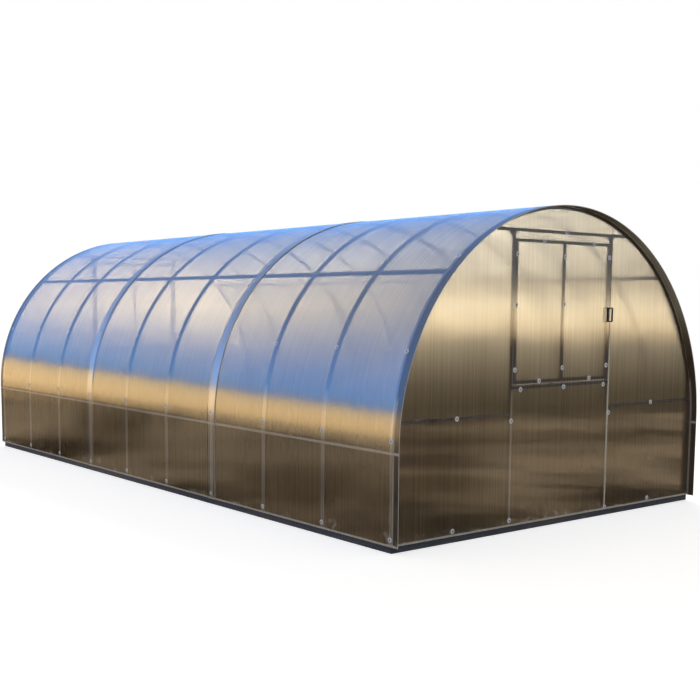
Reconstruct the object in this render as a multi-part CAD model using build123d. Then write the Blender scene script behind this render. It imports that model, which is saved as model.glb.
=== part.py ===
from build123d import *
import math
import os

# Arched garden greenhouse, millimetres.
# X runs across, Y along the length with the windowed front at -Y, Z up from the ground.

# Overall size
WIDTH = 3000.0
LENGTH = 6000.0
LEG_HEIGHT = 620.0
BAYS = 9

# Steel sections
TUBE = 20.0
BASE_HEIGHT = 40.0
BASE_THICKNESS = TUBE

# Long rails
LOWER_PURLIN_DROP = 20.0
ROOF_PURLIN_ANGLE = 45.0

# End frames
POST_SPACING = 980.0
LINTEL_DROP = 170.0
SILL_HEIGHT = 944.0
MID_RAIL_HEIGHT = 776.0

# Window leaf
WINDOW_SIDE_CLEARANCE = 5.0
WINDOW_BOTTOM_GAP = 16.0
WINDOW_TOP_GAP = 45.0
PANE_LAP = 12.0
PANE_CLEARANCE = 3.0

# Cladding
SHEET = 4.0
SHEET_WIDTH = 2100.0
LEAST_LAP = 60.0
SHEET_GAP = 0.5
OVERHANG = 60.0
JOGGLE = 15.0
PANEL_SEAM = 1.0

# Hinges and handle
HINGE_COUNT = 2
HINGE_HEIGHT = 70.0
HINGE_PLATE_WIDTH = 16.0
HINGE_PLATE = 2.0
HINGE_BARREL_RADIUS = 4.0
HINGE_INSET = 120.0
HANDLE_HEIGHT = 100.0
HANDLE_REACH = 40.0
HANDLE_WIDTH = 10.0
HANDLE_BAR = 8.0
HANDLE_PLATE_WIDTH = 14.0
HANDLE_PLATE = 3.0
HANDLE_DROP = 22.0

# Values that follow from the sizes above
HALF_WIDTH = WIDTH / 2
HALF_LENGTH = LENGTH / 2
ARCH_INNER = HALF_WIDTH - TUBE
ARCH_PITCH = (LENGTH - TUBE) / BAYS
SHEET_INNER = HALF_WIDTH + SHEET_GAP
SHEET_RUN = LENGTH + 2 * OVERHANG
SHEET_COUNT = math.ceil((SHEET_RUN - LEAST_LAP) / (SHEET_WIDTH - LEAST_LAP))
SHEET_LAP = (SHEET_COUNT * SHEET_WIDTH - SHEET_RUN) / max(SHEET_COUNT - 1, 1)
LOWER_PURLIN_HEIGHT = LEG_HEIGHT - LOWER_PURLIN_DROP
LINTEL_HEIGHT = LEG_HEIGHT + HALF_WIDTH - LINTEL_DROP
POST_X = POST_SPACING / 2
POST_INNER = POST_X - TUBE / 2
WINDOW_HALF = POST_INNER - WINDOW_SIDE_CLEARANCE
WINDOW_LOW = SILL_HEIGHT + TUBE / 2 + WINDOW_BOTTOM_GAP
WINDOW_HIGH = LINTEL_HEIGHT - TUBE / 2 - WINDOW_TOP_GAP
PANE_HALF = WINDOW_HALF + PANE_LAP
PANE_LOW = WINDOW_LOW - PANE_LAP / 2
PANE_HIGH = WINDOW_HIGH + PANE_LAP / 2
HANDLE_CENTRE = (WINDOW_LOW + WINDOW_HIGH) / 2 - HANDLE_DROP
TALL = LEG_HEIGHT + WIDTH


def block(x_low, x_high, y_low, y_high, z_low, z_high):
    """A rectangular block between two corners."""
    centre = ((x_low + x_high) / 2, (y_low + y_high) / 2, (z_low + z_high) / 2)
    return Pos(*centre) * Box(x_high - x_low, y_high - y_low, z_high - z_low)


def arch_area(radius, low):
    """The upright area under an arch of this outer radius, down to the height low."""
    crown = Pos(0, LEG_HEIGHT) * Circle(radius)
    legs = Pos(0, LEG_HEIGHT - TALL / 2) * Rectangle(2 * radius, TALL)
    above = Pos(0, low + TALL / 2) * Rectangle(2 * TALL, TALL)
    return (crown + legs) & above


def upright(area, y_low, y_high):
    """Stands a flat area upright and gives it the depth from y_low to y_high."""
    return Plane.XZ.offset(-y_high) * extrude(area, y_high - y_low)


def arch_y(index):
    """The near face of an arch, counted from the front."""
    return -HALF_LENGTH + index * ARCH_PITCH


def make_arch(index):
    """One bent tube with straight legs that stand on the base rails."""
    area = arch_area(HALF_WIDTH, BASE_HEIGHT) - arch_area(ARCH_INNER, BASE_HEIGHT)
    return upright(area, arch_y(index), arch_y(index) + TUBE)


def between_arches(make_piece):
    """The same short rail in every bay, cut to fit between its two arches."""
    pieces = []
    for index in range(BAYS):
        pieces.append(make_piece(arch_y(index) + TUBE, arch_y(index + 1)))
    return pieces


def make_lower_purlin(side):
    """Rails between the legs, flush with their outer faces."""
    def piece(y_low, y_high):
        """One bay of the lower rail."""
        x_inner = side * ARCH_INNER
        x_outer = side * HALF_WIDTH
        z_low = LOWER_PURLIN_HEIGHT - TUBE / 2
        return block(min(x_inner, x_outer), max(x_inner, x_outer), y_low, y_high, z_low, z_low + TUBE)
    return between_arches(piece)


def make_roof_purlin(side):
    """Rails between the bent tubes, square to the curve and just inside its outer face."""
    def piece(y_low, y_high):
        """One bay of the roof rail."""
        middle = HALF_WIDTH - TUBE / 2 - roof_purlin_drop()
        rail = Pos(0, (y_low + y_high) / 2, middle) * Box(TUBE, y_high - y_low, TUBE)
        turn = side * (90.0 - ROOF_PURLIN_ANGLE)
        return Pos(0, 0, LEG_HEIGHT) * Rot(0, turn, 0) * rail
    return between_arches(piece)


def roof_purlin_drop():
    """How far a square rail sits in so that its outer corners reach the curve."""
    return HALF_WIDTH - math.sqrt(HALF_WIDTH ** 2 - (TUBE / 2) ** 2)


def make_sheet(index):
    """One curved roof sheet. Each even one laps over its neighbours on the outside."""
    y_low = -SHEET_RUN / 2 + index * (SHEET_WIDTH - SHEET_LAP)
    y_high = y_low + SHEET_WIDTH
    lift = SHEET + SHEET_GAP
    under = [(y_low, 0.0)]
    over = [(y_low, SHEET)]
    if index % 2 == 1:
        under = [(y_low, lift), (y_low + SHEET_LAP, lift), (y_low + SHEET_LAP + JOGGLE, 0.0)]
        over = [(y, rise + SHEET) for y, rise in under]
    under_end = [(y_high, 0.0)]
    over_end = [(y_high, SHEET)]
    if index % 2 == 1 and index < SHEET_COUNT - 1:
        under_end = [(y_high - SHEET_LAP - JOGGLE, 0.0), (y_high - SHEET_LAP, lift), (y_high, lift)]
        over_end = [(y, rise + SHEET) for y, rise in under_end]
    outline = under + under_end + over_end[::-1] + over[::-1]
    profile = make_face(Polyline([(SHEET_INNER + rise, y) for y, rise in outline], close=True))
    leg = Pos(0, 0, BASE_HEIGHT) * extrude(profile, LEG_HEIGHT - BASE_HEIGHT)
    crown = Pos(0, 0, LEG_HEIGHT) * revolve(profile, Axis.Y, -180)
    other_leg = mirror(leg, about=Plane.YZ)
    return leg + crown + other_leg


def make_base_rail_long(side):
    """A ground rail along one side, full length."""
    x_inner = side * (HALF_WIDTH - BASE_THICKNESS)
    x_outer = side * HALF_WIDTH
    x_low, x_high = min(x_inner, x_outer), max(x_inner, x_outer)
    return block(x_low, x_high, -HALF_LENGTH, HALF_LENGTH, 0, BASE_HEIGHT)


def make_base_rail_end():
    """The ground rail across the front, between the long ones."""
    reach = HALF_WIDTH - BASE_THICKNESS
    return block(-reach, reach, -HALF_LENGTH, -HALF_LENGTH + BASE_THICKNESS, 0, BASE_HEIGHT)


def end_tube(x_low, x_high, z_low, z_high):
    """A piece of square tube in the plane of the front frame."""
    return block(x_low, x_high, -HALF_LENGTH, -HALF_LENGTH + TUBE, z_low, z_high)


def trim_to_arch(piece):
    """Cuts a rail of the front frame to the inside of the arch."""
    inside = upright(arch_area(ARCH_INNER, 0), -HALF_LENGTH, -HALF_LENGTH + TUBE)
    return piece & inside


def make_bottom_rail():
    """The lowest tube of the front frame, on the ground rail between the legs."""
    return end_tube(-ARCH_INNER, ARCH_INNER, BASE_HEIGHT, BASE_HEIGHT + TUBE)


def make_lintel():
    """The rail above the window, from arch to arch."""
    half = TUBE / 2
    rail = end_tube(-HALF_WIDTH, HALF_WIDTH, LINTEL_HEIGHT - half, LINTEL_HEIGHT + half)
    return trim_to_arch(rail)


def make_posts():
    """Two upright tubes from the bottom rail to the lintel."""
    posts = []
    for side in (-1, 1):
        x = side * POST_X
        posts.append(end_tube(x - TUBE / 2, x + TUBE / 2, BASE_HEIGHT + TUBE, LINTEL_HEIGHT - TUBE / 2))
    return posts


def make_sill():
    """The rail under the window, between the posts."""
    return end_tube(-POST_INNER, POST_INNER, SILL_HEIGHT - TUBE / 2, SILL_HEIGHT + TUBE / 2)


def make_mid_rails():
    """A rail on each side, from the arch to the post."""
    rails = []
    z_low = MID_RAIL_HEIGHT - TUBE / 2
    reach = POST_X + TUBE / 2
    rails.append(trim_to_arch(end_tube(-HALF_WIDTH, -reach, z_low, z_low + TUBE)))
    rails.append(trim_to_arch(end_tube(reach, HALF_WIDTH, z_low, z_low + TUBE)))
    return rails


def end_panel(area):
    """A flat sheet on the outside of the front frame."""
    return upright(area, -HALF_LENGTH - SHEET, -HALF_LENGTH)


def rectangle_between(x_low, x_high, z_low, z_high):
    """A flat rectangle between two corners."""
    centre = Pos((x_low + x_high) / 2, (z_low + z_high) / 2)
    return centre * Rectangle(x_high - x_low, z_high - z_low)


def make_wide_panel():
    """The left sheet, up to the right post, cut away round the window."""
    kept = rectangle_between(-HALF_WIDTH, POST_X - PANEL_SEAM, 0, TALL)
    window = rectangle_between(
        -PANE_HALF - PANE_CLEARANCE, HALF_WIDTH, PANE_LOW - PANE_CLEARANCE, PANE_HIGH + PANE_CLEARANCE
    )
    return end_panel((arch_area(HALF_WIDTH, BASE_HEIGHT) & kept) - window)


def make_narrow_panel():
    """The right sheet, from the right post to the arch."""
    kept = rectangle_between(POST_X + PANEL_SEAM, HALF_WIDTH, 0, TALL)
    return end_panel(arch_area(HALF_WIDTH, BASE_HEIGHT) & kept)


def make_window_frame():
    """The window leaf: four tubes and an upright bar in the middle, welded."""
    leaf = end_tube(-WINDOW_HALF, WINDOW_HALF, WINDOW_LOW, WINDOW_HIGH)
    inner = WINDOW_HALF - TUBE
    for side in (-1, 1):
        x_low, x_high = sorted((side * TUBE / 2, side * inner))
        leaf -= end_tube(x_low, x_high, WINDOW_LOW + TUBE, WINDOW_HIGH - TUBE)
    return leaf


def make_window_pane():
    """The sheet on the outside of the window leaf."""
    return end_panel(rectangle_between(-PANE_HALF, PANE_HALF, PANE_LOW, PANE_HIGH))


def make_hinges():
    """Butt hinges behind the left post, each with two plates and a barrel."""
    hinges = []
    span = WINDOW_HIGH - WINDOW_LOW - 2 * HINGE_INSET
    middle = -(POST_INNER + WINDOW_HALF) / 2
    back = -HALF_LENGTH + TUBE
    for index in range(HINGE_COUNT):
        z = WINDOW_LOW + HINGE_INSET + span * index / (HINGE_COUNT - 1)
        low, high = z - HINGE_HEIGHT / 2, z + HINGE_HEIGHT / 2
        plates = block(
            middle - HINGE_PLATE_WIDTH, middle + HINGE_PLATE_WIDTH, back, back + HINGE_PLATE, low, high
        )
        barrel = Pos(middle, back + HINGE_BARREL_RADIUS, z) * Cylinder(HINGE_BARREL_RADIUS, HINGE_HEIGHT)
        hinges.append(plates + barrel)
    return hinges


def make_handle():
    """A pull handle on the right side of the window: a plate and a bowed bar."""
    x = WINDOW_HALF - HANDLE_PLATE_WIDTH / 2
    face = -HALF_LENGTH - SHEET
    low = HANDLE_CENTRE - HANDLE_HEIGHT / 2
    half_plate = HANDLE_PLATE_WIDTH / 2
    plate = block(x - half_plate, x + half_plate, face - HANDLE_PLATE, face, low, low + HANDLE_HEIGHT)
    outer = Pos(face - HANDLE_REACH / 2, HANDLE_CENTRE) * RectangleRounded(
        HANDLE_REACH, HANDLE_HEIGHT, HANDLE_BAR * 1.4
    )
    inner = Pos(face - HANDLE_REACH / 2, HANDLE_CENTRE) * RectangleRounded(
        HANDLE_REACH - 2 * HANDLE_BAR, HANDLE_HEIGHT - 2 * HANDLE_BAR, HANDLE_BAR * 0.4
    )
    beyond = Pos(face + HANDLE_REACH / 2, HANDLE_CENTRE) * Rectangle(HANDLE_REACH, 2 * HANDLE_HEIGHT)
    bow_area = outer - inner - beyond
    bow = Plane.YZ.offset(x - HANDLE_WIDTH / 2) * extrude(bow_area, HANDLE_WIDTH)
    return plate + bow


def save(name, shape):
    """Writes one node, from one solid or a list of solids that stand apart."""
    solids = shape if isinstance(shape, list) else [shape]
    parts = []
    for solid in solids:
        parts.extend(solid.solids())
    result = parts[0] if len(parts) == 1 else Compound(children=parts)
    result.label = name
    export_step(result, os.path.join("parts", name + ".step"))


def turned(shape):
    """The same piece at the back, turned half round about Z."""
    if isinstance(shape, list):
        return [Rot(0, 0, 180) * solid for solid in shape]
    return Rot(0, 0, 180) * shape


def main():
    """Builds and writes every piece."""
    os.makedirs("parts", exist_ok=True)
    for side, name in ((-1, "left"), (1, "right")):
        save("base_rail_" + name, make_base_rail_long(side))
        save("lower_purlin_" + name, make_lower_purlin(side))
        save("roof_purlin_" + name, make_roof_purlin(side))
    for index in range(BAYS + 1):
        save("arch_" + str(index + 1), make_arch(index))
    for index in range(SHEET_COUNT):
        save("roof_sheet_" + str(index + 1), make_sheet(index))
    end_pieces = {
        "base_rail": make_base_rail_end(),
        "bottom_rail": make_bottom_rail(),
        "posts": make_posts(),
        "lintel": make_lintel(),
        "sill": make_sill(),
        "mid_rails": make_mid_rails(),
        "wide_panel": make_wide_panel(),
        "narrow_panel": make_narrow_panel(),
        "window_frame": make_window_frame(),
        "window_pane": make_window_pane(),
        "window_hinges": make_hinges(),
        "window_handle": make_handle(),
    }
    for name, shape in end_pieces.items():
        save("front_" + name, shape)
        save("back_" + name, turned(shape))


main()
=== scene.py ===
"""Looks of the arched greenhouse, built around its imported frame.

Metres throughout. X runs across, Y along the length with the front end at -Y, Z up from the ground.
"""

import logging
import math
from collections.abc import Iterable, Sequence
from dataclasses import dataclass
from enum import Enum

import bpy
from mathutils import Matrix, Vector


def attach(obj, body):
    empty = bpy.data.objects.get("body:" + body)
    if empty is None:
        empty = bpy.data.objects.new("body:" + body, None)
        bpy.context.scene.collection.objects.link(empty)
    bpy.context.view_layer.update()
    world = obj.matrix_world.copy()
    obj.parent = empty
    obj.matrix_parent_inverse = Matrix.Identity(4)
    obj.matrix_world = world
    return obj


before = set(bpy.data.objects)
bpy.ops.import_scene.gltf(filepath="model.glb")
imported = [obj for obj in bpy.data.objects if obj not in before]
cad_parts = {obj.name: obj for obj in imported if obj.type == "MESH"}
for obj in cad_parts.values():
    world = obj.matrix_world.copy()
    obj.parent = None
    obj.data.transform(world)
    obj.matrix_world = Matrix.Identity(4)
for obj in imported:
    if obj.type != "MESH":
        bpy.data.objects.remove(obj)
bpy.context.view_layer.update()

LOG = logging.getLogger("greenhouse")
BODY = "root"

Triple = tuple[float, float, float]
Colour = Triple
Pair = tuple[float, float]
Outline = Sequence[Pair]
Stops = Sequence[tuple[float, Colour]]
Socket = bpy.types.NodeSocket
Value = float | Triple | Socket

WHITE: Colour = (1.0, 1.0, 1.0)

ROUNDED_FROM = math.radians(50.0)
SHARP_FROM = math.radians(35.0)


class Slot(Enum):
    """The record's material slots of the tubes and the sheets, which the script doesn't use."""

    TUBE = "galvanised_tube"
    SHEET = "bronze_sheet"


class End(Enum):
    """The two ends, with the half turn that takes a piece of the front there."""

    FRONT = "front"
    BACK = "back"

    @property
    def place(self) -> Matrix:
        """The turn about the upright middle line."""
        return Matrix.Rotation(math.pi if self is End.BACK else 0.0, 4, "Z")


class Flutes(Enum):
    """Which way the hollow channels of a twin-wall sheet run."""

    OVER_THE_ARCH = "over"
    UPRIGHT = "upright"

    @property
    def across(self) -> str:
        """The axis that crosses the channels."""
        return "Y" if self is Flutes.OVER_THE_ARCH else "X"


@dataclass(frozen=True)
class House:
    """Sizes that the CAD model also has."""

    half_width: float = 1.5
    half_length: float = 3.0
    leg: float = 0.62
    tube: float = 0.02
    bays: int = 9
    lower_purlin: float = 0.60
    bottom_rail: float = 0.05
    mid_rail: float = 0.776
    sill: float = 0.944
    lintel: float = 1.95
    post: float = 0.49
    sheet_inner: float = 1.5005
    sheet: float = 0.004
    lap_lift: float = 0.0045
    sheet_bottom: float = 0.04
    sheet_end: float = 3.06
    lap_near: float = 1.05
    lap_far: float = 0.96
    joggle: float = 0.015

    @property
    def pitch(self) -> float:
        """From one arch to the next."""
        return (2 * self.half_length - self.tube) / self.bays

    @property
    def post_outer(self) -> float:
        """How far from the middle a post's outer side is."""
        return self.post + self.tube / 2

    @property
    def sheet_outer(self) -> float:
        """From the middle to a roof sheet's outer face, where nothing laps over it."""
        return self.sheet_inner + self.sheet

    @property
    def end_face(self) -> float:
        """How far out the end sheets' outer face is."""
        return self.half_length + self.sheet

    def arch_middle(self, index: int) -> float:
        """Where an arch stands along the length.

        Args:
            index: the arch, counted from the front.

        Returns:
            The Y of its middle.
        """
        return -self.half_length + self.tube / 2 + index * self.pitch

    def on_lap(self, y: float) -> bool:
        """Whether a place along the length is on a lap."""
        return self.lap_far <= abs(y) <= self.lap_near


HOUSE = House()


class Shader:
    """A node tree that is filled by short calls, for a material or the world."""

    def __init__(self, tree: bpy.types.NodeTree) -> None:
        """Empties the tree.

        Args:
            tree: the node tree to fill.
        """
        self.tree = tree
        tree.nodes.clear()

    def add(
        self, kind: str, inputs: dict[str | int, Value] | None = None, **settings: object
    ) -> bpy.types.Node:
        """Adds a node.

        Args:
            kind: the node's type, without its leading ShaderNode.
            inputs: numbers, colours or sockets by input name or place.
            settings: the node's own options.

        Returns:
            The new node.
        """
        node = self.tree.nodes.new("ShaderNode" + kind)
        for key, value in settings.items():
            setattr(node, key, value)
        for key, value in (inputs or {}).items():
            self.feed(node.inputs[key], value)
        return node

    def feed(self, socket: Socket, value: Value) -> None:
        """Sets or links one input.

        Args:
            socket: the input.
            value: a number, a colour or another node's output.
        """
        if isinstance(value, Socket):
            self.tree.links.new(value, socket)
        elif isinstance(value, tuple) and socket.type == "RGBA":
            socket.default_value = (*value, 1.0)
        else:
            socket.default_value = value

    def place(self) -> Socket:
        """Where a point is on the object."""
        return self.add("TexCoord").outputs["Object"]

    def axis(self, name: str) -> Socket:
        """One coordinate of the point."""
        return self.add("SeparateXYZ", {"Vector": self.place()}).outputs[name]

    def off_middle(self, name: str) -> Socket:
        """How far the point is from the middle along one axis."""
        return self.math("ABSOLUTE", self.axis(name))

    def scaled(self, factors: Triple) -> Socket:
        """The point with each axis stretched.

        Args:
            factors: one factor for each axis.

        Returns:
            The stretched point.
        """
        return self.add("Mapping", {"Vector": self.place(), "Scale": factors}).outputs["Vector"]

    def noise(self, vector: Socket, scale: float, detail: float, roughness: float = 0.5) -> Socket:
        """Soft cloudy noise from 0 to 1.

        Args:
            vector: the point it is read at.
            scale: how many clouds to a metre.
            detail: how many finer layers.
            roughness: how strong the finer layers are.

        Returns:
            The noise.
        """
        inputs = {"Vector": vector, "Scale": scale, "Detail": detail, "Roughness": roughness}
        return self.add("TexNoise", inputs).outputs["Fac"]

    def math(self, operation: str, *values: Value) -> Socket:
        """A sum of one to three numbers.

        Args:
            operation: the Math node's operation.
            values: its inputs in order.

        Returns:
            The result.
        """
        return self.add("Math", dict(enumerate(values)), operation=operation).outputs[0]

    def span(self, value: Socket, source: Pair, target: Pair = (0.0, 1.0)) -> Socket:
        """Takes one range to another, with its ends held.

        Args:
            value: the number.
            source: the range it comes from.
            target: the range it goes to.

        Returns:
            The new number.
        """
        inputs = {"Value": value, 1: source[0], 2: source[1], 3: target[0], 4: target[1]}
        return self.add("MapRange", inputs, clamp=True).outputs[0]

    def mix(self, share: Value, first: Value, second: Value) -> Socket:
        """Blends two colours.

        Args:
            share: how much of the second.
            first: the first colour.
            second: the second colour.

        Returns:
            The blend.
        """
        node = self.add("Mix", {0: share, 6: first, 7: second}, data_type="RGBA")
        return node.outputs[2]

    def bump(self, height: Socket) -> Socket:
        """The normal of a surface with a height in metres."""
        return self.add("Bump", {"Height": height, "Strength": 1.0, "Distance": 1.0}).outputs["Normal"]

    def surface(self, kind: str, **inputs: Value) -> Socket:
        """A surface of any kind.

        Args:
            kind: the node's type, without its leading ShaderNodeBsdf.
            inputs: its inputs, with underscores for spaces.

        Returns:
            The shader.
        """
        named = {key.replace("_", " "): value for key, value in inputs.items()}
        return self.add("Bsdf" + kind, named).outputs[0]

    def body(self, **inputs: Value) -> Socket:
        """A Principled surface, with its inputs' names as for any surface."""
        return self.surface("Principled", **inputs)

    def blend(self, share: Value, first: Socket, second: Socket) -> Socket:
        """Blends two surfaces or two backgrounds.

        Args:
            share: how much of the second.
            first: the first shader.
            second: the second shader.

        Returns:
            The blend.
        """
        return self.add("MixShader", {0: share, 1: first, 2: second}).outputs[0]

    def mirrored_rays(self) -> Socket:
        """1 for what is seen in a mirror-like surface, else 0."""
        return self.add("LightPath").outputs["Is Glossy Ray"]

    def direct_rays(self) -> Socket:
        """1 for what the camera sees, also through the sheets, else 0."""
        path = self.add("LightPath").outputs
        return self.math("MAXIMUM", path["Is Camera Ray"], path["Is Transmission Ray"])

    def show(self, surface: Socket) -> None:
        """Makes a shader the material's surface."""
        self.add("OutputMaterial", {"Surface": surface})


@dataclass(frozen=True)
class Finish:
    """A material that is made once, when it is first asked for."""

    name: str

    def material(self) -> bpy.types.Material:
        """Finds this finish's material, or makes it.

        Returns:
            The material, the same one each time.
        """
        made = bpy.data.materials.get(self.name)
        if made is None:
            made = bpy.data.materials.new(self.name)
            made.use_nodes = True
            self.paint(Shader(made.node_tree))
        return made

    def paint(self, shader: Shader) -> None:
        """Fills the node tree.

        Args:
            shader: the material's node tree.
        """
        raise NotImplementedError


@dataclass(frozen=True)
class GalvanisedSteel(Finish):
    """Zinc-coated steel with crystal flakes, clouded by weather."""

    flakes: float = 85.0
    clouds: float = 6.0
    dark: Colour = (0.14, 0.15, 0.17)
    light: Colour = (0.36, 0.37, 0.39)
    metallic: float = 0.5
    roughness: Pair = (0.5, 0.3)
    relief: float = 0.00004
    flake_share: float = 0.55
    cloud_share: float = 0.5

    def paint(self, shader: Shader) -> None:
        """Fills the node tree.

        Args:
            shader: the material's node tree.
        """
        cells = shader.add("TexVoronoi", {"Vector": shader.place(), "Scale": self.flakes}, feature="F1")
        flake = shader.add("SeparateColor", {"Color": cells.outputs["Color"]}).outputs[0]
        cloud = shader.noise(shader.place(), self.clouds, detail=4.0, roughness=0.6)
        cloudy = shader.math("MULTIPLY", cloud, self.cloud_share)
        tone = shader.math("MULTIPLY_ADD", flake, self.flake_share, cloudy)
        colour = shader.mix(shader.span(tone, (0.15, 0.9)), self.dark, self.light)
        rough = shader.span(tone, (0.1, 0.9), self.roughness)
        normal = shader.bump(shader.math("MULTIPLY", flake, self.relief))
        shader.show(shader.body(Base_Color=colour, Metallic=self.metallic, Roughness=rough, Normal=normal))


@dataclass(frozen=True)
class PaintedSteel(Finish):
    """Dark satin paint with dust low down."""

    paint_colour: Colour = (0.030, 0.036, 0.050)
    dust: Colour = (0.16, 0.15, 0.14)
    dust_height: float = 0.03
    smears: Triple = (3.0, 3.0, 30.0)
    flecks: float = 90.0
    grain: float = 400.0
    roughness: Pair = (0.35, 0.6)
    relief: float = 0.00005

    def paint(self, shader: Shader) -> None:
        """Fills the node tree.

        Args:
            shader: the material's node tree.
        """
        low = shader.span(shader.axis("Z"), (0.0, self.dust_height), (0.5, 0.0))
        cloud = shader.noise(shader.scaled(self.smears), 3.0, detail=5.0, roughness=0.65)
        dust_and_shade = shader.math("MULTIPLY", low, shader.span(cloud, (0.4, 0.75)))
        fleck = shader.span(shader.noise(shader.place(), self.flecks, detail=2.0), (0.62, 0.75), (0.0, 0.25))
        colour = shader.mix(shader.math("MAXIMUM", dust_and_shade, fleck), self.paint_colour, self.dust)
        rough = shader.span(cloud, (0.3, 0.8), self.roughness)
        height = shader.math("MULTIPLY", shader.noise(shader.place(), self.grain, detail=2.0), self.relief)
        shader.show(shader.body(Base_Color=colour, Roughness=rough, Normal=shader.bump(height)))


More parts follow.
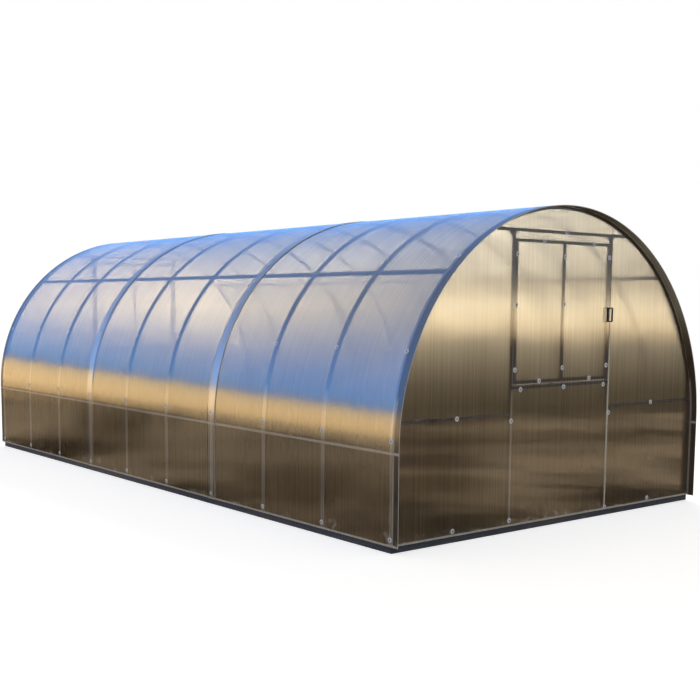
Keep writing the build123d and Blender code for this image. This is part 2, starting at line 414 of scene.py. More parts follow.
@dataclass(frozen=True)
class BronzeSheet(Finish):
    """Bronze twin-wall sheet: partly see-through, glossy, streaked along its channels.

    Its cover is the share of it that hides what lies behind. A depth is in metres.
    """

    flutes: Flutes = Flutes.UPRIGHT

    tint: Colour = (0.975, 0.950, 0.895)
    solid: Colour = (0.014, 0.010, 0.007)
    pale: Colour = (0.052, 0.038, 0.026)
    glow: Colour = (0.60, 0.46, 0.26)
    haze: Colour = (0.40, 0.39, 0.38)
    # painted highlight: the pale colour of lit tubes seen through the foot of the sheet
    pressed: Colour = (0.42, 0.39, 0.35)
    # painted shade: the dark colour of the rails standing in shade behind the end sheets
    shaded: Colour = (0.050, 0.058, 0.078)
    splashed: Colour = (0.46, 0.42, 0.37)
    edge: Colour = (0.50, 0.48, 0.43)

    cover: float = 0.32
    cover_low: float = 0.81
    cover_edge_on: float = 0.45
    cover_streak: float = 0.08
    cover_inside: float = 0.35
    cover_overhang: float = 0.45
    cover_overhang_inside: float = 0.99
    cover_glint: float = 0.2
    cover_marked: float = 0.3
    # painted shade: below these heights the sheet turns more solid and dark, standing for the dark ground
    # seen through its lower part
    dust_and_shade: Pair = (0.85, 1.40)

    shine: float = 3.4
    roughness: Pair = (0.015, 0.085)
    dull_shine: float = 1.4
    dull_roughness: float = 0.55
    dull_overhang: float = 0.72
    edge_roughness: float = 0.45
    edge_share: float = 0.8
    lit_through: float = 0.12
    blurred: float = 0.6
    blur: float = 0.30
    bend: float = 1.3

    cell: float = 0.006
    cell_depth: float = 0.000012
    lines: float = 260.0
    line_run: float = 0.8
    line_depth: float = 0.00042
    broad_scale: float = 0.2
    broad_share: float = 0.28
    clouds: Triple = (0.9, 0.9, 1.4)
    cloud_share: float = 0.4
    tones: Pair = (0.36, 0.62)
    waves: Triple = (1.3, 2.2, 1.3)
    wave_depth: float = 0.0035
    bay_depth: float = 0.0011
    soil: float = 7.0
    soil_height: Pair = (0.05, 0.19)
    soil_shows: float = 0.5

    # heights over which the tubes' painted highlight fades out
    glint_height: Pair = (0.90, 0.94)
    leg_shows: float = 0.50
    purlin_shows: float = 0.75
    post_shows: float = 0.55
    bottom_rail_shows: float = 0.25
    mid_rail_shows: float = 0.75
    sill_shows: float = 0.8
    window_shows: float = 0.7
    lap_shows: float = 0.8
    lap_edge: Pair = (-0.005, 0.001)
    lap_fade_low: Pair = (0.55, 0.8)
    lap_fade_high: Pair = (0.9, 1.75)
    overhang_edge: Pair = (-0.002, 0.006)
    bar_core: float = 0.7
    window_side: float = 0.474
    window_side_half: float = 0.028
    window_foot: float = 0.976
    window_start: Pair = (0.95, 0.96)
    window_fade: Pair = (1.3, 1.8)
    fringe: float = 0.005

    def streaks(self, shader: Shader) -> Socket:
        """Uneven lines along the channels.

        Args:
            shader: the material's node tree.

        Returns:
            A number from 0 to 1.
        """
        run = self.line_run
        fine = (run, self.lines, run) if self.flutes is Flutes.OVER_THE_ARCH else (self.lines, run, run)
        broad = tuple(factor * self.broad_scale for factor in fine)
        near = shader.noise(shader.scaled(fine), 1.0, detail=3.0, roughness=0.65)
        far = shader.noise(shader.scaled(broad), 1.0, detail=3.0, roughness=0.6)
        far = shader.math("MULTIPLY", far, self.broad_share)
        return shader.math("MULTIPLY_ADD", near, 1.0 - self.broad_share, far)

    def height(self, shader: Shader) -> Socket:
        """Channel walls, streaks, slow waves and a roof sheet's swell between the arches.

        Args:
            shader: the material's node tree.

        Returns:
            The height in metres.
        """
        across = shader.axis(self.flutes.across)
        walls = shader.math("COSINE", shader.math("MULTIPLY", across, 2 * math.pi / self.cell))
        walls = shader.math("MULTIPLY", walls, self.cell_depth)
        lines = shader.math("MULTIPLY_ADD", self.streaks(shader), self.line_depth, walls)
        slow = shader.noise(shader.scaled(self.waves), 1.0, detail=2.0, roughness=0.4)
        total = shader.math("MULTIPLY_ADD", slow, self.wave_depth, lines)
        if self.flutes is Flutes.OVER_THE_ARCH:
            turn = 2 * math.pi / HOUSE.pitch
            bays = shader.math("MULTIPLY_ADD", across, turn, -turn * HOUSE.arch_middle(0))
            total = shader.math("MULTIPLY_ADD", shader.math("COSINE", bays), -self.bay_depth, total)
        return total

    def paint(self, shader: Shader) -> None:
        """Fills the node tree.

        Args:
            shader: the material's node tree.
        """
        streak = self.streaks(shader)
        cloud = shader.noise(shader.scaled(self.clouds), 2.0, detail=4.0, roughness=0.6)
        cloudy = shader.math("MULTIPLY", cloud, self.cloud_share)
        tone = shader.math("MULTIPLY_ADD", streak, 1.0 - self.cloud_share, cloudy)
        colour = shader.mix(shader.span(tone, self.tones), self.solid, self.pale)
        inside, overhang = self.inside(shader), self.overhang(shader)
        facing = shader.add("LayerWeight", {"Blend": 0.5}).outputs["Facing"]
        # Painted shade: the cover rises towards the bottom, so the lower sheet shows its dark solid colour
        # instead of what lies behind it.
        cover = shader.span(shader.axis("Z"), self.dust_and_shade, (self.cover_low, self.cover))
        for more in (
            shader.span(facing, (0.5, 0.95), (0.0, self.cover_edge_on)),
            shader.span(streak, (0.38, 0.62), (-self.cover_streak, self.cover_streak)),
            shader.math("MULTIPLY", overhang, self.cover_overhang),
        ):
            cover = shader.math("ADD", cover, more)
        for mark, shade, thickness in self.marks(shader):
            colour = shader.mix(mark, colour, shade)
            cover = shader.math("MULTIPLY_ADD", mark, thickness, cover)
        clearer = shader.span(inside, (0.0, 1.0), (1.0, self.cover_inside))
        as_outside = shader.math("MULTIPLY", overhang, self.cover_overhang_inside)
        cover = shader.math("MULTIPLY", cover, shader.math("MAXIMUM", clearer, as_outside))
        rough, normal = shader.span(tone, (0.35, 0.65), self.roughness), shader.bump(self.height(shader))
        face = shader.blend(
            shader.math("MULTIPLY_ADD", overhang, self.dull_overhang, inside),
            shader.body(Base_Color=colour, Roughness=rough, IOR=self.shine, Normal=normal),
            shader.body(Base_Color=colour, Roughness=self.dull_roughness, IOR=self.dull_shine),
        )
        skin = shader.blend(self.lit_through, face, shader.surface("Translucent", Color=self.glow))
        through = shader.blend(
            self.blurred,
            shader.surface("Transparent", Color=self.tint),
            shader.surface("Refraction", Color=self.tint, Roughness=self.blur, IOR=self.bend),
        )
        rim = shader.body(Base_Color=self.edge, Roughness=self.edge_roughness)
        shader.show(shader.blend(self.rim_share(shader), shader.blend(cover, through, skin), rim))

    def marks(self, shader: Shader) -> list[tuple[Socket, Colour, float]]:
        """What shows on the sheet, or right behind it, with painted highlights and painted shade where tubes
        lie behind it.

        Args:
            shader: the material's node tree.

        Returns:
            How strong each mark is, its colour, and how much cover it adds.
        """
        # Painted highlight: pale bands where tubes lie against the foot of the sheet.
        tube_glint = (self.tube_glint(shader), self.pressed, self.cover_glint)
        splash = (self.splash(shader), self.splashed, self.cover_marked)
        if self.flutes is Flutes.OVER_THE_ARCH:
            return [tube_glint, splash, (self.on_laps(shader), self.haze, self.cover_marked)]
        # Painted shade: dark bands where the rails and the window frame stand behind the end sheets.
        return [tube_glint, (self.behind(shader), self.shaded, self.cover_marked), splash]

    def inside(self, shader: Shader) -> Socket:
        """Finds the faces that look into the house, which are matt and clearer.

        Args:
            shader: the material's node tree.

        Returns:
            1 on them and 0 on the others.
        """
        geometry = shader.add("NewGeometry").outputs
        middle = (0.0, 0.0, HOUSE.leg)
        out = shader.add("VectorMath", {0: shader.place(), 1: middle}, operation="SUBTRACT").outputs[0]
        along = shader.add("VectorMath", {0: geometry["True Normal"], 1: out}, operation="DOT_PRODUCT")
        flip = shader.span(geometry["Backfacing"], (0.0, 1.0), (1.0, -1.0))
        return shader.math("LESS_THAN", shader.math("MULTIPLY", along.outputs["Value"], flip), 0.0)

    def overhang(self, shader: Shader) -> Value:
        """Finds where a roof sheet reaches past an end, with nothing lit behind it.

        Args:
            shader: the material's node tree.

        Returns:
            1 there and 0 elsewhere, and also 0 on an end sheet.
        """
        if self.flutes is Flutes.UPRIGHT:
            return 0.0
        past = shader.math("SUBTRACT", shader.off_middle("Y"), HOUSE.half_length)
        return shader.span(past, self.overhang_edge)

    def on_laps(self, shader: Shader) -> Socket:
        """Finds where two roof sheets lap, which looks hazy, most of all at half height.

        Args:
            shader: the material's node tree.

        Returns:
            How hazy a point is.
        """
        middle, half = (HOUSE.lap_near + HOUSE.lap_far) / 2, (HOUSE.lap_near - HOUSE.lap_far) / 2
        away = shader.math("ABSOLUTE", shader.math("SUBTRACT", shader.off_middle("Y"), middle))
        past = shader.math("SUBTRACT", away, half)
        band = shader.span(past, self.lap_edge, (self.lap_shows, 0.0))
        height = shader.axis("Z")
        upper = shader.span(height, self.lap_fade_high, (1.0, 0.35))
        lower = shader.span(height, self.lap_fade_low, (0.25, 1.0))
        return shader.math("MULTIPLY", band, shader.math("MINIMUM", upper, lower))

    def bar(self, shader: Shader, value: Socket, middle: float, half: float, strength: float) -> Socket:
        """A band where a number is near another.

        Args:
            shader: the material's node tree.
            value: the number.
            middle: what it is near.
            half: half the band's width.
            strength: how strong the band is.

        Returns:
            The band's strength.
        """
        away = shader.math("ABSOLUTE", shader.math("SUBTRACT", value, middle))
        return shader.span(away, (half * self.bar_core, half), (strength, 0.0))

    def tube_glint(self, shader: Shader) -> Socket:
        """Finds where a tube that presses on the foot of the sheet shows through it, painted pale: a painted
        highlight of the tube's lit edge.

        Args:
            shader: the material's node tree.

        Returns:
            How strongly it shows.
        """
        height, half = shader.axis("Z"), HOUSE.tube / 2
        if self.flutes is Flutes.OVER_THE_ARCH:
            bays = shader.math("DIVIDE", shader.math("ADD", shader.axis("Y"), HOUSE.half_length), HOUSE.pitch)
            nearest = shader.math("MULTIPLY", shader.math("PINGPONG", bays, 0.5), HOUSE.pitch)
            uprights = self.bar(shader, nearest, half, half, self.leg_shows)
            rail = self.bar(shader, height, HOUSE.lower_purlin, half, self.purlin_shows)
        else:
            uprights = self.bar(shader, shader.off_middle("X"), HOUSE.post, half, self.post_shows)
            rail = self.bar(shader, height, HOUSE.bottom_rail, half, self.bottom_rail_shows)
        low = shader.span(height, self.glint_height, (1.0, 0.0))
        return shader.math("MULTIPLY", shader.math("MAXIMUM", uprights, rail), low)

    def behind(self, shader: Shader) -> Socket:
        """Paints dark shade on the end sheets where the rails of an end and its window stand behind them.

        Args:
            shader: the material's node tree.

        Returns:
            How strongly they show.
        """
        height, aside, half = shader.axis("Z"), shader.off_middle("X"), HOUSE.tube / 2
        sides = self.bar(shader, aside, self.window_side, self.window_side_half, self.window_shows)
        stile = self.bar(shader, aside, 0.0, half, self.window_shows)
        above_sill = shader.span(height, self.window_start)
        uprights = shader.math("MULTIPLY", shader.math("MAXIMUM", sides, stile), above_sill)
        uprights = shader.math("MULTIPLY", uprights, shader.span(height, self.window_fade, (1.0, 0.2)))
        sill = self.bar(shader, height, HOUSE.sill, half, self.sill_shows)
        foot = self.bar(shader, height, self.window_foot, half, self.sill_shows)
        within = shader.span(aside, (HOUSE.post_outer - self.fringe, HOUSE.post_outer), (1.0, 0.0))
        sill = shader.math("MULTIPLY", shader.math("MAXIMUM", sill, foot), within)
        beyond = shader.span(aside, (HOUSE.post_outer, HOUSE.post_outer + self.fringe))
        mids = self.bar(shader, height, HOUSE.mid_rail, half, self.mid_rail_shows)
        mids = shader.math("MULTIPLY", mids, beyond)
        return shader.math("MAXIMUM", uprights, shader.math("MAXIMUM", sill, mids))

    def splash(self, shader: Shader) -> Socket:
        """Finds where pale soil has splashed up onto the foot of the sheet.

        Args:
            shader: the material's node tree.

        Returns:
            How strongly it shows.
        """
        cloud = shader.noise(shader.place(), self.soil, detail=6.0, roughness=0.7)
        scarcer = shader.span(shader.axis("Z"), self.soil_height, (0.0, 0.16))
        return shader.span(shader.math("SUBTRACT", cloud, scarcer), (0.53, 0.60), (0.0, self.soil_shows))

    def rim_share(self, shader: Shader) -> Socket:
        """Finds the sheet's narrow edges, where its channels catch the light.

        Args:
            shader: the material's node tree.

        Returns:
            How much of the edge's own look a point has.
        """
        normal = shader.add("NewGeometry").outputs["True Normal"]
        along = shader.math("ABSOLUTE", shader.add("SeparateXYZ", {"Vector": normal}).outputs["Y"])
        if self.flutes is Flutes.OVER_THE_ARCH:
            return shader.span(along, (0.85, 0.95), (0.0, self.edge_share))
        return shader.span(along, (0.3, 0.5), (self.edge_share, 0.0))


@dataclass(frozen=True)
class MouldedPlastic(Finish):
    """Plastic with a fine grain."""

    colour: Colour = (0.02, 0.02, 0.022)
    worn: Colour = (0.07, 0.07, 0.075)
    wear: float = 60.0
    grain: float = 900.0
    roughness: float = 0.42
    relief: float = 0.00003

    def paint(self, shader: Shader) -> None:
        """Fills the node tree.

        Args:
            shader: the material's node tree.
        """
        cloud = shader.noise(shader.place(), self.wear, detail=4.0, roughness=0.6)
        colour = shader.mix(shader.span(cloud, (0.4, 0.75)), self.colour, self.worn)
        rough = shader.span(cloud, (0.3, 0.7), (self.roughness, self.roughness + 0.18))
        height = shader.math("MULTIPLY", shader.noise(shader.place(), self.grain, detail=2.0), self.relief)
        shader.show(shader.body(Base_Color=colour, Roughness=rough, Normal=shader.bump(height)))


@dataclass(frozen=True)
class ZincScrew(Finish):
    """Zinc-plated screw heads, dull with age."""

    dark: Colour = (0.10, 0.10, 0.11)
    light: Colour = (0.32, 0.32, 0.34)
    clouds: float = 160.0
    metallic: float = 0.7
    roughness: Pair = (0.35, 0.6)

    def paint(self, shader: Shader) -> None:
        """Fills the node tree.

        Args:
            shader: the material's node tree.
        """
        cloud = shader.noise(shader.place(), self.clouds, detail=3.0, roughness=0.6)
        colour = shader.mix(cloud, self.dark, self.light)
        rough = shader.span(cloud, (0.3, 0.7), self.roughness)
        shader.show(shader.body(Base_Color=colour, Metallic=self.metallic, Roughness=rough))


@dataclass(frozen=True)
class StudioFloor(Finish):
    """Pale floor that meets the white background and keeps the shadow.

    The sheets mirror it as patchy dark soil, with pale ground far off on the left.
    """

    colour: Colour = (0.82, 0.82, 0.82)
    mirrored_dark: Colour = (0.025, 0.018, 0.012)
    mirrored_pale: Colour = (0.62, 0.46, 0.29)
    mirrored_far: Colour = (1.0, 0.76, 0.46)
    patches: float = 0.55
    far: Pair = (5.0, 7.0)
    lift: float = 0.50
    shade_edge: float = 0.08

    def paint(self, shader: Shader) -> None:
        """Fills the node tree.

        Args:
            shader: the material's node tree.
        """
        cloud = shader.noise(shader.place(), self.patches, detail=5.0, roughness=0.6)
        mirrored = shader.mix(shader.span(cloud, (0.43, 0.58)), self.mirrored_dark, self.mirrored_pale)
        left = shader.math("MULTIPLY", shader.axis("X"), -1.0)
        mirrored = shader.mix(shader.span(left, self.far), mirrored, self.mirrored_far)
        plain = shader.surface("Diffuse", Color=shader.mix(shader.mirrored_rays(), self.colour, mirrored))
        bright = shader.math("MULTIPLY", shader.direct_rays(), self.open_air(shader))
        bright = shader.math("MULTIPLY", bright, self.lift)
        glow = shader.add("Emission", {"Color": WHITE, "Strength": bright}).outputs[0]
        shader.show(shader.add("AddShader", {0: plain, 1: glow}).outputs[0])

    def open_air(self, shader: Shader) -> Socket:
        """Finds the floor that isn't under the house.

        Args:
            shader: the material's node tree.

        Returns:
            1 outside the house and 0 under it.
        """
        wide, long = HOUSE.half_width, HOUSE.half_length
        across = shader.span(shader.off_middle("X"), (wide - self.shade_edge, wide))
        along = shader.span(shader.off_middle("Y"), (long - self.shade_edge, long))
        return shader.math("MAXIMUM", across, along)


TUBE_STEEL = GalvanisedSteel("galvanised tube")
BRACKET_STEEL = GalvanisedSteel(
    "galvanised bracket", flakes=140.0, dark=(0.30, 0.31, 0.33), light=(0.55, 0.56, 0.58)
)
BASE_PAINT = PaintedSteel("dark base paint")
# the heights given here set where the roof sheets' painted shade towards the bottom begins and ends
ROOF_BRONZE = BronzeSheet("bronze roof sheet", flutes=Flutes.OVER_THE_ARCH, dust_and_shade=(0.70, 1.45))
END_BRONZE = BronzeSheet("bronze end sheet", flutes=Flutes.UPRIGHT)
HANDLE_BLACK = MouldedPlastic("black handle")
WASHER_PALE = MouldedPlastic(
    "pale washer", colour=(0.42, 0.43, 0.46), worn=(0.56, 0.56, 0.57), roughness=0.3
)
SCREW_ZINC = ZincScrew("zinc screw")
EDGE_TAPE = MouldedPlastic(
    "pale edge tape", colour=(0.30, 0.28, 0.24), worn=(0.44, 0.42, 0.37), roughness=0.3
)
FLOOR_FINISH = StudioFloor("studio floor")

RIVET: Outline = ((0.0, 0.0), (0.0034, 0.0), (0.0032, 0.0010), (0.0020, 0.0019), (0.0, 0.0019))
RIVET_SIDES = 10


class Shape:
    """Points and faces gathered into one piece."""

    def __init__(self) -> None:
        """Starts with nothing."""
        self.points: list[Vector] = []
        self.faces: list[tuple[int, ...]] = []
        self.marks: list[int] = []

    def add(self, points: Iterable[Vector], faces: Iterable[Sequence[int]], mark: int = 0) -> None:
        """Adds points and the faces between them.

        Args:
            points: new points.
            faces: faces by the new points' own numbers.
            mark: which of the piece's finishes they have.
        """
        start = len(self.points)
        self.points.extend(points)
        for face in faces:
            self.faces.append(tuple(start + index for index in face))
            self.marks.append(mark)

    def turned(self, place: Matrix, outline: Outline, count: int, mark: int = 0) -> None:
        """A closed ring, or a solid where the outline begins and ends on the axis.

        Args:
            place: where its foot is, with its own Z pointing out.
            outline: radius and height of each corner of the section.
            count: how many sides round it.
            mark: which of the piece's finishes it has.
        """
        inner = [corner for corner in outline if corner[0] > 0]
        solid = len(inner) < len(outline)
        points, faces = [], []
        for step in range(count):
            turn = 2 * math.pi * step / count
            points.extend(place @ Vector((r * math.cos(turn), r * math.sin(turn), h)) for r, h in inner)
        size = len(inner)
        for step in range(count):
            near, far = step * size, (step + 1) % count * size
            for k in range(size - 1 if solid else size):
                after = (k + 1) % size
                faces.append((near + k, far + k, far + after, near + after))
        if solid:
            faces.append([step * size for step in range(count)][::-1])
            faces.append([step * size + size - 1 for step in range(count)])
        self.add(points, faces, mark)

    def plate(self, place: Matrix, outline: Outline, thickness: float) -> None:
        """A flat plate with any outline.

        Args:
            place: where its foot lies.
            outline: its corners, anticlockwise from above.
            thickness: how thick it is.
        """
        count = len(outline)
        points = [place @ Vector((x, y, h)) for h in (0.0, thickness) for x, y in outline]
        faces = [tuple(range(count))[::-1], tuple(range(count, 2 * count))]
        for k in range(count):
            after = (k + 1) % count
            faces.append((k, after, count + after, count + k))
        self.add(points, faces)

    def rivet(self, point: Vector, direction: Vector, mark: int = 0) -> None:
        """A small rivet head.

        Args:
            point: where it sits.
            direction: where it points.
            mark: which of the piece's finishes it has.
        """
        self.turned(outward(point, direction), RIVET, RIVET_SIDES, mark)

    def swept(self, sections: Sequence[Sequence[Vector]]) -> None:
        """A bar through sections that all have as many corners.

        Args:
            sections: the corners of each section in turn.
        """
        size = len(sections[0])
        points = [corner for section in sections for corner in section]
        faces = [tuple(range(size))[::-1], tuple(len(points) - size + k for k in range(size))]
        for step in range(len(sections) - 1):
            near, far = step * size, (step + 1) * size
            for k in range(size):
                after = (k + 1) % size
                faces.append((near + k, near + after, far + after, far + k))
        self.add(points, faces)

    def piece(self, name: str, finishes: Sequence[Finish]) -> None:
        """Makes the Blender object, riding with the greenhouse.

        Args:
            name: the piece's name.
            finishes: one finish for each mark.
        """
        mesh = bpy.data.meshes.new(name)
        mesh.from_pydata(self.points, [], self.faces)
        mesh.validate()
        for finish in finishes:
            mesh.materials.append(finish.material())
        mesh.polygons.foreach_set("material_index", self.marks)
        mesh.shade_smooth()
        mesh.set_sharp_from_angle(angle=SHARP_FROM)
        made = in_scene(name, mesh)
        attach(made, BODY)
        LOG.info("%s: %d faces", name, len(mesh.polygons))


def in_scene(name: str, data: bpy.types.ID) -> bpy.types.Object:
    """Puts a mesh, a lamp or a camera into the scene.

    Args:
        name: the object's name.
        data: what it shows.

    Returns:
        The object.
    """
    made = bpy.data.objects.new(name, data)
    bpy.context.scene.collection.objects.link(made)
    return made


def dress(node: str, finish: Finish, rounding: float = 0.0, steps: int = 2) -> None:
    """Gives a CAD node its finish, and softens its corners.

    Args:
        node: the node's name.
        finish: its finish.
        rounding: how far its corners are rounded.
        steps: how finely.
    """
    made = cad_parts[node]
    made.data.materials.clear()
    made.data.materials.append(finish.material())
    if rounding:
        soft = made.modifiers.new("rounded corners", "BEVEL")
        soft.width = rounding
        soft.segments = steps
        soft.limit_method = "ANGLE"
        soft.angle_limit = ROUNDED_FROM
        soft.harden_normals = False
    LOG.info("%s: %s", node, finish.name)


def outward(point: Vector, direction: Vector) -> Matrix:
    """A place whose own Z points along a direction.

    Args:
        point: the place.
        direction: where its Z points.

    Returns:
        The matrix of that place.
    """
    turn = Vector((0.0, 0.0, 1.0)).rotation_difference(direction.normalized())
    return Matrix.Translation(point) @ turn.to_matrix().to_4x4()


@dataclass
class Washers:
    """Screws with sealing washers that hold the sheets to the frame."""

    ring: Outline = (
        (0.0062, 0.0), (0.0066, 0.0022), (0.0096, 0.0030), (0.0134, 0.0027), (0.0162, 0.0013), (0.0170, 0.0)
    )
    ring_sides: int = 20
    flange: Outline = ((0.0, 0.0), (0.0074, 0.0), (0.0072, 0.0020), (0.0, 0.0026))
    flange_sides: int = 12
    head: Outline = ((0.0, 0.0018), (0.0050, 0.0018), (0.0050, 0.0037), (0.0042, 0.0044), (0.0, 0.0044))
    head_sides: int = 6
    leg_height: float = 0.082
    angles: tuple[float, ...] = (1.98, 22.6, 49.6, 76.8)
    flat_on_lap_below: float = 10.0
    flat_above: float = 70.0
    pressed: float = 0.2
    pressed_foot: float = -0.0004

    def one(self, shape: Shape, point: Vector, direction: Vector, flat: bool = False) -> None:
        """Adds one screw and its washer.

        Args:
            shape: what it is added to.
            point: where it sits on the sheet.
            direction: where the sheet faces.
            flat: whether it is pressed down hard.
        """
        place = outward(point, direction)
        if flat:
            place @= Matrix.Translation((0, 0, self.pressed_foot)) @ Matrix.Diagonal((1, 1, self.pressed, 1))
        shape.turned(place, self.ring, self.ring_sides, 0)
        shape.turned(place, self.flange, self.flange_sides, 1)
        shape.turned(place, self.head, self.head_sides, 1)

    def along_arches(self, side: int) -> None:
        """The screws of every arch on one side.

        Args:
            side: -1 for the left and 1 for the right.
        """
        shape = Shape()
        for index in range(HOUSE.bays + 1):
            y = HOUSE.arch_middle(index)
            lap = HOUSE.on_lap(y)
            radius = HOUSE.sheet_outer + (HOUSE.lap_lift if lap else 0.0)
            self.one(shape, Vector((side * radius, y, self.leg_height)), Vector((side, 0, 0)), lap)
            for angle in self.angles:
                turn = math.radians(angle)
                out = Vector((side * math.cos(turn), 0.0, math.sin(turn)))
                centre = Vector((0.0, y, HOUSE.leg))
                flat = angle > self.flat_above or lap and angle < self.flat_on_lap_below
                self.one(shape, centre + out * radius, out, flat)
        name = "roof_washers_" + ("left" if side < 0 else "right")
        shape.piece(name, (WASHER_PALE, SCREW_ZINC))

    def on_end(self, end: End, spots: Outline, name: str) -> None:
        """Screws on a flat end.

        Args:
            end: which end.
            spots: how far right and how high each one is, seen from outside.
            name: the piece's name.
        """
        shape = Shape()
        for x, z in spots:
            point = end.place @ Vector((x, -HOUSE.end_face, z))
            self.one(shape, point, end.place @ Vector((0.0, -1.0, 0.0)))
        shape.piece(name, (WASHER_PALE, SCREW_ZINC))


@dataclass
class Skeleton:
    """Steel frame: base rails, arches, long rails and the rails of both ends.

    Corner plates hang under three rails, outside the posts (1) or between them (-1).
    """

    tube_rounding: float = 0.0016
    plates: tuple[tuple[float, int], ...] = (
        (HOUSE.lintel, -1), (HOUSE.lintel, 1), (HOUSE.sill, -1), (HOUSE.mid_rail, 1)
    )
    plate_leg: float = 0.040
    plate_seat: float = 0.014
    plate_cut: float = 0.007
    plate_thickness: float = 0.002
    rivets: Outline = ((-0.006, -0.006), (0.028, -0.008), (-0.008, 0.028))

    def build(self) -> None:
        """Dresses the steel and adds its corner plates."""
        for index in range(HOUSE.bays + 1):
            dress("arch_" + str(index + 1), TUBE_STEEL, self.tube_rounding)
        for side in ("left", "right"):
            dress("lower_purlin_" + side, TUBE_STEEL, self.tube_rounding)
            dress("roof_purlin_" + side, TUBE_STEEL, self.tube_rounding)
            dress("base_rail_" + side, BASE_PAINT, self.tube_rounding)
        for end in End:
            dress(end.value + "_base_rail", BASE_PAINT, self.tube_rounding)
            for name in ("bottom_rail", "posts", "lintel", "sill", "mid_rails"):
                dress(end.value + "_" + name, TUBE_STEEL, self.tube_rounding)
            self.corner_plates(end)

    def corner_plates(self, end: End) -> None:
        """Corner plates on the inside of an end frame.

        Args:
            end: which end.
        """
        shape = Shape()
        half = HOUSE.tube / 2
        for rail, where in self.plates:
            for side in (-1, 1):
                x = side * (HOUSE.post + where * half)
                corner = Vector((x, HOUSE.tube - HOUSE.half_length, rail - half))
                self.corner_plate(shape, end.place, corner, side * where)
        shape.piece(end.value + "_corner_plates", (BRACKET_STEEL, SCREW_ZINC))

    def corner_plate(self, shape: Shape, place: Matrix, corner: Vector, right: int) -> None:
        """One three-cornered plate with three rivets.

        Args:
            shape: what it is added to.
            place: the end's own place.
            corner: the inner corner where the two tubes meet.
            right: 1 if it reaches to the right, seen from outside, else -1.
        """
        seat, leg, cut = self.plate_seat, self.plate_leg, self.plate_cut
        outline = [(-seat, -seat), (leg, -seat), (leg, -seat + cut), (-seat + cut, leg), (-seat, leg)]
        outline = [(right * u, -v) for u, v in outline]
        if right < 0:
            outline = outline[::-1]
        basis = Matrix(((1, 0, 0, 0), (0, 0, 1, 0), (0, 1, 0, 0), (0, 0, 0, 1)))
        flat = place @ Matrix.Translation(corner) @ basis
        shape.plate(flat, outline, self.plate_thickness)
        inner = place @ Vector((0.0, 1.0, 0.0))
        for u, v in self.rivets:
            shape.rivet(flat @ Vector((right * u, -v, self.plate_thickness)), inner, 1)


@dataclass
class Cladding:
    """Bronze sheets with the tape on their edges."""

    tape_height: float = 0.0125
    tape_thickness: float = 0.0003
    clearance: float = 0.0002
    side_gap: float = 0.001
    seam_left: float = 0.491
    seam_width: float = 0.013
    seam_gap: float = 0.003
    seam_top: float = 1.330

    def build(self) -> None:
        """Dresses the sheets and adds their tape."""
        for index in range(3):
            dress("roof_sheet_" + str(index + 1), ROOF_BRONZE)
        for end in End:
            for name in ("wide_panel", "narrow_panel"):
                dress(end.value + "_" + name, END_BRONZE)
            self.end_tape(end)
        for side in (-1, 1):
            self.long_tape(side)

    def long_tape(self, side: int) -> None:
        """Tape along the foot of the roof sheets.

        Args:
            side: -1 for the left and 1 for the right.
        """
        out, lift = HOUSE.sheet_outer, HOUSE.lap_lift
        reach, near, far = HOUSE.sheet_end, HOUSE.lap_near, HOUSE.lap_far
        outer_half = [(far - HOUSE.joggle, 0.0), (far, lift), (near, lift)]
        lapped = [(-y, rise) for y, rise in outer_half[::-1]] + outer_half
        start = near + self.clearance
        runs = [[(-reach, 0.0), (-start, 0.0)], lapped, [(start, 0.0), (reach, 0.0)]]
        low, high = HOUSE.sheet_bottom + self.clearance, HOUSE.sheet_bottom + self.tape_height
        shape = Shape()
        for run in runs:
            sections = []
            for y, rise in run:
                inner, outer = out + rise, out + rise + self.tape_thickness
                corners = ((inner, low), (outer, low), (outer, high), (inner, high))
                corners = corners if side < 0 else corners[::-1]
                sections.append([Vector((side * x, y, z)) for x, z in corners])
            shape.swept(sections)
        shape.piece("foot_tape_" + ("left" if side < 0 else "right"), (EDGE_TAPE,))

    def strip(self, shape: Shape, place: Matrix, low: Pair, high: Pair) -> None:
        """A strip of tape on an end sheet.

        Args:
            shape: what it is added to.
            place: the end's own place.
            low: its lower left corner, seen from outside.
            high: its upper right corner.
        """
        basis = Matrix(((1, 0, 0, 0), (0, 0, -1, -HOUSE.end_face), (0, 1, 0, 0), (0, 0, 0, 1)))
        outline = [(low[0], low[1]), (high[0], low[1]), (high[0], high[1]), (low[0], high[1])]
        shape.plate(place @ basis, outline, self.tape_thickness)

    def end_tape(self, end: End) -> None:
        """Tape along the foot of an end and up the seam beside the post.

        Args:
            end: which end.
        """
        shape = Shape()
        half, foot = HOUSE.half_width - self.side_gap, HOUSE.sheet_bottom + self.clearance
        top = HOUSE.sheet_bottom + self.tape_height
        left, right = self.seam_left, self.seam_left + self.seam_width
        self.strip(shape, end.place, (-half, foot), (left - self.seam_gap, top))
        self.strip(shape, end.place, (right, foot), (half, top))
        self.strip(shape, end.place, (left, foot), (right, self.seam_top))
        shape.piece(end.value + "_edge_tape", (EDGE_TAPE,))


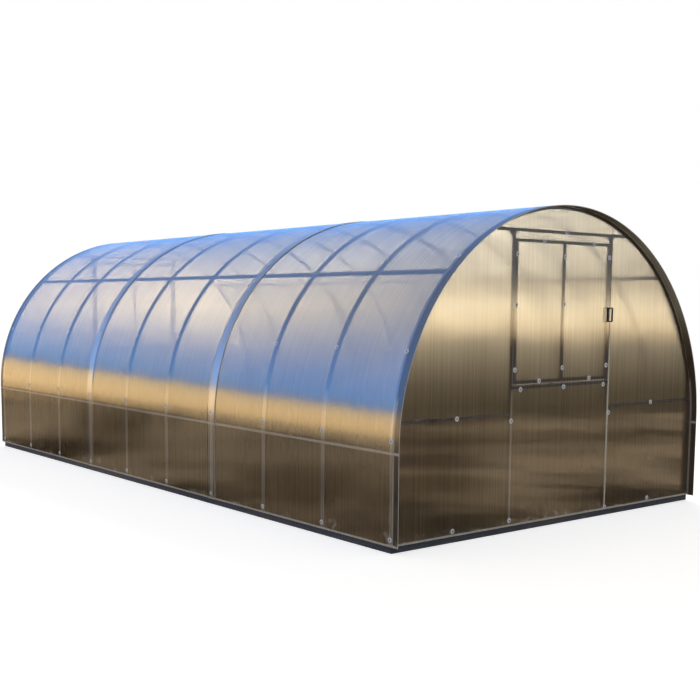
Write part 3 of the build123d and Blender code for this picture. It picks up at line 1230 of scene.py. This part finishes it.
@dataclass
class VentWindow:
    """Vent window of one end, with its hinges and handle."""

    end: End
    leaf_rounding: float = 0.0016
    hinge_rounding: float = 0.0005
    handle_rounding: float = 0.0022
    handle_steps: int = 3
    hinge_middle: float = -0.4775
    hinge_heights: Pair = (1.090, 1.775)
    hinge_thickness: float = 0.002
    screw_aside: float = 0.0105
    screw_above: float = 0.024
    spots: Outline = (
        (-0.230, 0.979), (0.284, 0.979), (-0.465, 1.058), (0.465, 1.062), (-0.465, 1.474), (-0.463, 1.795),
        (0.465, 1.800), (0.0, 1.059), (0.0, 1.482), (0.0, 1.792), (-0.209, 1.886), (0.297, 1.886),
    )

    def build(self) -> None:
        """Dresses the leaf and adds its small parts."""
        name = self.end.value + "_window_"
        dress(name + "frame", TUBE_STEEL, self.leaf_rounding)
        dress(name + "pane", END_BRONZE)
        dress(name + "hinges", BRACKET_STEEL, self.hinge_rounding)
        dress(name + "handle", HANDLE_BLACK, self.handle_rounding, self.handle_steps)
        Washers().on_end(self.end, self.spots, self.end.value + "_window_washers")
        self.hinge_screws()

    def hinge_screws(self) -> None:
        """Four small screws in each hinge."""
        shape = Shape()
        face = HOUSE.tube + self.hinge_thickness - HOUSE.half_length
        inner = self.end.place @ Vector((0.0, 1.0, 0.0))
        for height in self.hinge_heights:
            for x in (-self.screw_aside, self.screw_aside):
                for z in (-self.screw_above, self.screw_above):
                    spot = Vector((self.hinge_middle + x, face, height + z))
                    shape.rivet(self.end.place @ spot, inner)
        shape.piece(self.end.value + "_hinge_screws", (SCREW_ZINC,))


@dataclass
class EndScrews:
    """Screws of the fixed sheets on both ends."""

    spots: Outline = (
        (-0.487, 0.079), (0.500, 0.057), (-1.000, 0.073), (0.995, 0.069), (-0.979, 0.774), (0.997, 0.777),
        (-0.490, 0.730), (0.507, 0.728), (-0.408, 0.930), (0.019, 0.930), (0.008, 1.950), (0.440, 0.930),
    )

    def build(self) -> None:
        """Adds the screws of both ends."""
        for end in End:
            Washers().on_end(end, self.spots, end.value + "_panel_washers")


@dataclass(frozen=True)
class Sky:
    """What lies round the object.

    The camera sees white, also through the sheets, and the object gets soft neutral light. Only what
    the sheets and the steel mirror has a sky over a golden horizon, paler before the front end. Heights
    in it run from 0 below eye level to 1 straight above.
    """

    before: Stops = (
        (0.000, (0.014, 0.011, 0.007)), (0.066, (0.020, 0.015, 0.010)), (0.072, (0.24, 0.16, 0.08)),
        (0.084, (0.75, 0.56, 0.31)), (0.099, (0.75, 0.60, 0.38)), (0.112, (0.26, 0.21, 0.15)),
        (0.130, (0.11, 0.11, 0.11)), (0.200, (0.08, 0.09, 0.10)), (0.500, (0.08, 0.12, 0.19)),
    )
    beyond: Stops = (
        (0.000, (0.014, 0.011, 0.007)), (0.020, (0.017, 0.012, 0.008)), (0.030, (0.26, 0.17, 0.08)),
        (0.070, (0.42, 0.28, 0.13)), (0.120, (0.46, 0.31, 0.15)), (0.180, (0.36, 0.27, 0.16)),
        (0.194, (0.10, 0.12, 0.17)), (0.212, (0.06, 0.15, 0.32)), (0.270, (0.07, 0.18, 0.40)),
        (0.400, (0.08, 0.18, 0.42)), (0.650, (0.10, 0.19, 0.40)),
    )
    heights: Pair = (-0.1, 0.9)
    change: float = 0.15
    mirrored_strength: float = 6.0
    soft: Colour = (1.0, 0.98, 0.96)
    soft_strength: float = 0.55

    def ramp(self, shader: Shader, value: Socket, stops: Stops) -> Socket:
        """Takes a number to colours.

        Args:
            shader: the world's node tree.
            value: the number.
            stops: where along the ramp each colour is, in order.

        Returns:
            The colour.
        """
        node = shader.add("ValToRGB", {"Fac": value})
        elements = node.color_ramp.elements
        for position, _ in stops[1:-1]:
            elements.new(position)
        for element, (position, colour) in zip(elements, stops):
            element.position = position
            element.color = (*colour, 1.0)
        return node.outputs["Color"]

    def light(self, shader: Shader, colour: Colour | Socket, strength: float) -> Socket:
        """A background of one strength.

        Args:
            shader: the world's node tree.
            colour: its colour.
            strength: how bright it is, with 1 for plain white.

        Returns:
            The shader.
        """
        return shader.add("Background", {"Color": colour, "Strength": strength}).outputs[0]

    def build(self) -> None:
        """Makes the world."""
        world = bpy.data.worlds.new("studio")
        bpy.context.scene.world = world
        world.use_nodes = True
        shader = Shader(world.node_tree)
        way = shader.add("SeparateXYZ", {"Vector": shader.add("TexCoord").outputs["Generated"]}).outputs
        height = shader.span(way["Z"], self.heights)
        before, beyond = self.ramp(shader, height, self.before), self.ramp(shader, height, self.beyond)
        around = shader.mix(shader.span(way["Y"], (-self.change, self.change)), before, beyond)
        mirrored = self.light(shader, around, self.mirrored_strength)
        soft = self.light(shader, self.soft, self.soft_strength)
        unseen = shader.blend(shader.mirrored_rays(), soft, mirrored)
        seen = shader.blend(shader.direct_rays(), unseen, self.light(shader, WHITE, 1.0))
        shader.add("OutputWorld", {"Surface": seen})


@dataclass(frozen=True)
class Sun:
    """A broad soft lamp, far off, that no surface mirrors."""

    name: str
    power: float
    spread: float
    tilt: float
    turn: float
    colour: Colour = WHITE
    only_through: bool = False

    def build(self) -> None:
        """Makes the lamp, which may shine through the sheets without lighting any surface."""
        lamp = bpy.data.lights.new(self.name, "SUN")
        lamp.energy = self.power
        lamp.angle = math.radians(self.spread)
        lamp.color = self.colour
        made = in_scene(self.name, lamp)
        made.rotation_euler = (math.radians(self.tilt), 0.0, math.radians(self.turn))
        made.visible_glossy = False
        made.visible_diffuse = not self.only_through


@dataclass
class Studio:
    """Floor, light and the photograph's camera."""

    floor_reach: float = 10.0
    floor_sides: int = 64
    floor_drop: float = 0.001
    suns: tuple[Sun, ...] = (
        Sun("soft_sun", 1.8, 25.0, 63.0, 140.0),
        Sun("fill_sun", 0.5, 60.0, 50.0, -35.0),
        Sun("low_sun", 0.6, 18.0, 89.0, 149.0, colour=(1.0, 0.86, 0.62), only_through=True),
    )
    eye: Triple = (-5.648, -7.6908, 1.4762)
    yaw: float = 0.6724
    pitch: float = -0.109
    roll: float = 0.0065
    lens: float = 55.28
    sensor: float = 36.0
    shift: Pair = (0.0176, 0.1015)
    sees_as_far: float = 300.0

    def build(self) -> None:
        """Makes everything round the object."""
        self.floor()
        Sky().build()
        for sun in self.suns:
            sun.build()
        self.camera()
        bpy.context.scene.view_settings.view_transform = "Standard"

    def floor(self) -> None:
        """A wide plain floor, a hair under the base rails."""
        mesh = bpy.data.meshes.new("studio_floor")
        turns = [2 * math.pi * step / self.floor_sides for step in range(self.floor_sides)]
        rim = [
            (self.floor_reach * math.cos(turn), self.floor_reach * math.sin(turn), -self.floor_drop)
            for turn in turns
        ]
        mesh.from_pydata(rim, [], [tuple(range(self.floor_sides))])
        mesh.materials.append(FLOOR_FINISH.material())
        in_scene("studio_floor", mesh)

    def camera(self) -> None:
        """Sets the camera where the photograph was taken."""
        level = math.cos(self.pitch)
        ahead = Vector((math.sin(self.yaw) * level, math.cos(self.yaw) * level, math.sin(self.pitch)))
        right = ahead.cross(Vector((0.0, 0.0, 1.0))).normalized()
        up = right.cross(ahead)
        across = math.cos(self.roll) * right + math.sin(self.roll) * up
        over = -math.sin(self.roll) * right + math.cos(self.roll) * up
        lens = bpy.data.cameras.new("camera")
        lens.sensor_width = self.sensor
        lens.lens = self.lens
        lens.shift_x, lens.shift_y = self.shift
        lens.clip_end = self.sees_as_far
        made = in_scene("camera", lens)
        columns = Matrix((across, over, -ahead)).transposed().to_4x4()
        made.matrix_world = Matrix.Translation(self.eye) @ columns
        bpy.context.scene.camera = made


def main() -> None:
    """Builds every piece in order."""
    logging.basicConfig(level=logging.INFO, format="%(message)s")
    Studio().build()
    Skeleton().build()
    Cladding().build()
    for side in (-1, 1):
        Washers().along_arches(side)
    EndScrews().build()
    for end in End:
        VentWindow(end).build()


if __name__ == "__main__":
    main()
